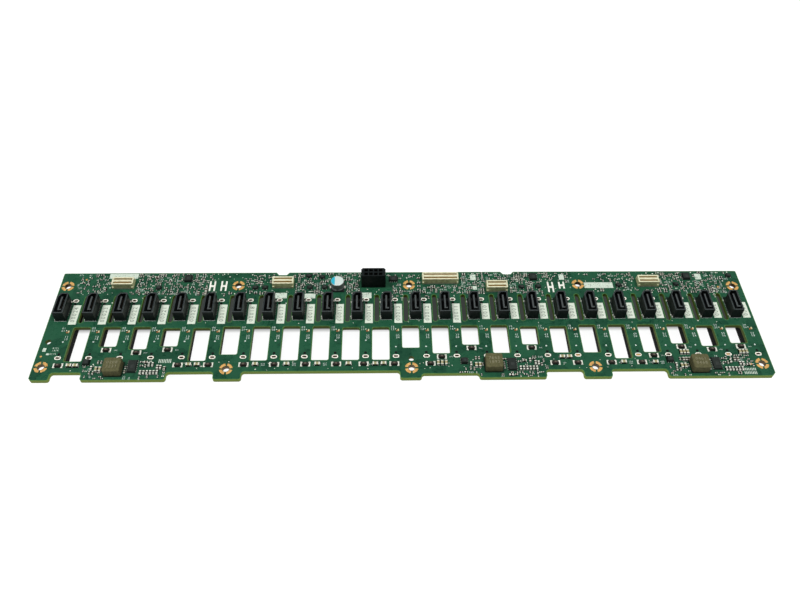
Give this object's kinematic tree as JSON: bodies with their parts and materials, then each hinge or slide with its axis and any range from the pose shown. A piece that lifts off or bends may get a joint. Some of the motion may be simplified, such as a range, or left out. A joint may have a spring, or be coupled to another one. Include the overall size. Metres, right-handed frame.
{
  "type": "drive backplane board",
  "caption": "Long green circuit board with air windows, a row of port connectors above and a row of drive connectors below, for a chassis of hot-swap disk drives.",
  "frame": {"origin": "middle of the footprint, on the plane of the drive connectors' mating faces, which the part rests on", "axes": "+X along the board, +Y towards the edge with the power socket, +Z out of the side with the port connectors"},
  "size_m": [0.428, 0.082, 0.0207],
  "materials": {
    "solder_mask": "satin green solder mask over glass fibre laminate",
    "port_plastic": "black moulded plastic",
    "drive_plastic": "black moulded plastic",
    "ivory_plastic": "ivory moulded plastic",
    "power_plastic": "black moulded plastic",
    "can_metal": "brushed can with a blue mark",
    "ferrite": "pressed ferrite, taupe",
    "chip_epoxy": "black moulded epoxy",
    "moulded_epoxy": "black moulded epoxy",
    "contact_plating": "gold and tin plated strips"
  },
  "bodies": {
    "root": {"circuit_board": "solder_mask", "port_connector_01": "port_plastic", "port_connector_02": "port_plastic", "port_connector_03": "port_plastic", "port_connector_04": "port_plastic", "port_connector_05": "port_plastic", "port_connector_06": "port_plastic", "port_connector_07": "port_plastic", "port_connector_08": "port_plastic", "port_connector_09": "port_plastic", "port_connector_10": "port_plastic", "port_connector_11": "port_plastic", "port_connector_12": "port_plastic", "port_connector_13": "port_plastic", "port_connector_14": "port_plastic", "port_connector_15": "port_plastic", "port_connector_16": "port_plastic", "port_connector_17": "port_plastic", "port_connector_18": "port_plastic", "port_connector_19": "port_plastic", "port_connector_20": "port_plastic", "port_connector_21": "port_plastic", "port_connector_22": "port_plastic", "port_connector_23": "port_plastic", "port_connector_24": "port_plastic", "drive_connector_01": "drive_plastic", "drive_connector_02": "drive_plastic", "drive_connector_03": "drive_plastic", "drive_connector_04": "drive_plastic", "drive_connector_05": "drive_plastic", "drive_connector_06": "drive_plastic", "drive_connector_07": "drive_plastic", "drive_connector_08": "drive_plastic", "drive_connector_09": "drive_plastic", "drive_connector_10": "drive_plastic", "drive_connector_11": "drive_plastic", "drive_connector_12": "drive_plastic", "drive_connector_13": "drive_plastic", "drive_connector_14": "drive_plastic", "drive_connector_15": "drive_plastic", "drive_connector_16": "drive_plastic", "drive_connector_17": "drive_plastic", "drive_connector_18": "drive_plastic", "drive_connector_19": "drive_plastic", "drive_connector_20": "drive_plastic", "drive_connector_21": "drive_plastic", "drive_connector_22": "drive_plastic", "drive_connector_23": "drive_plastic", "drive_connector_24": "drive_plastic", "mezzanine_socket_1": "ivory_plastic", "mezzanine_socket_2": "ivory_plastic", "mezzanine_socket_3": "ivory_plastic", "mezzanine_socket_4": "ivory_plastic", "mezzanine_socket_5": "ivory_plastic", "power_socket": "power_plastic", "can_capacitor": "can_metal", "power_inductors": "ferrite", "chips": "chip_epoxy", "moulded_capacitors": "moulded_epoxy", "contacts": "contact_plating"}
  },
  "joints": []
}
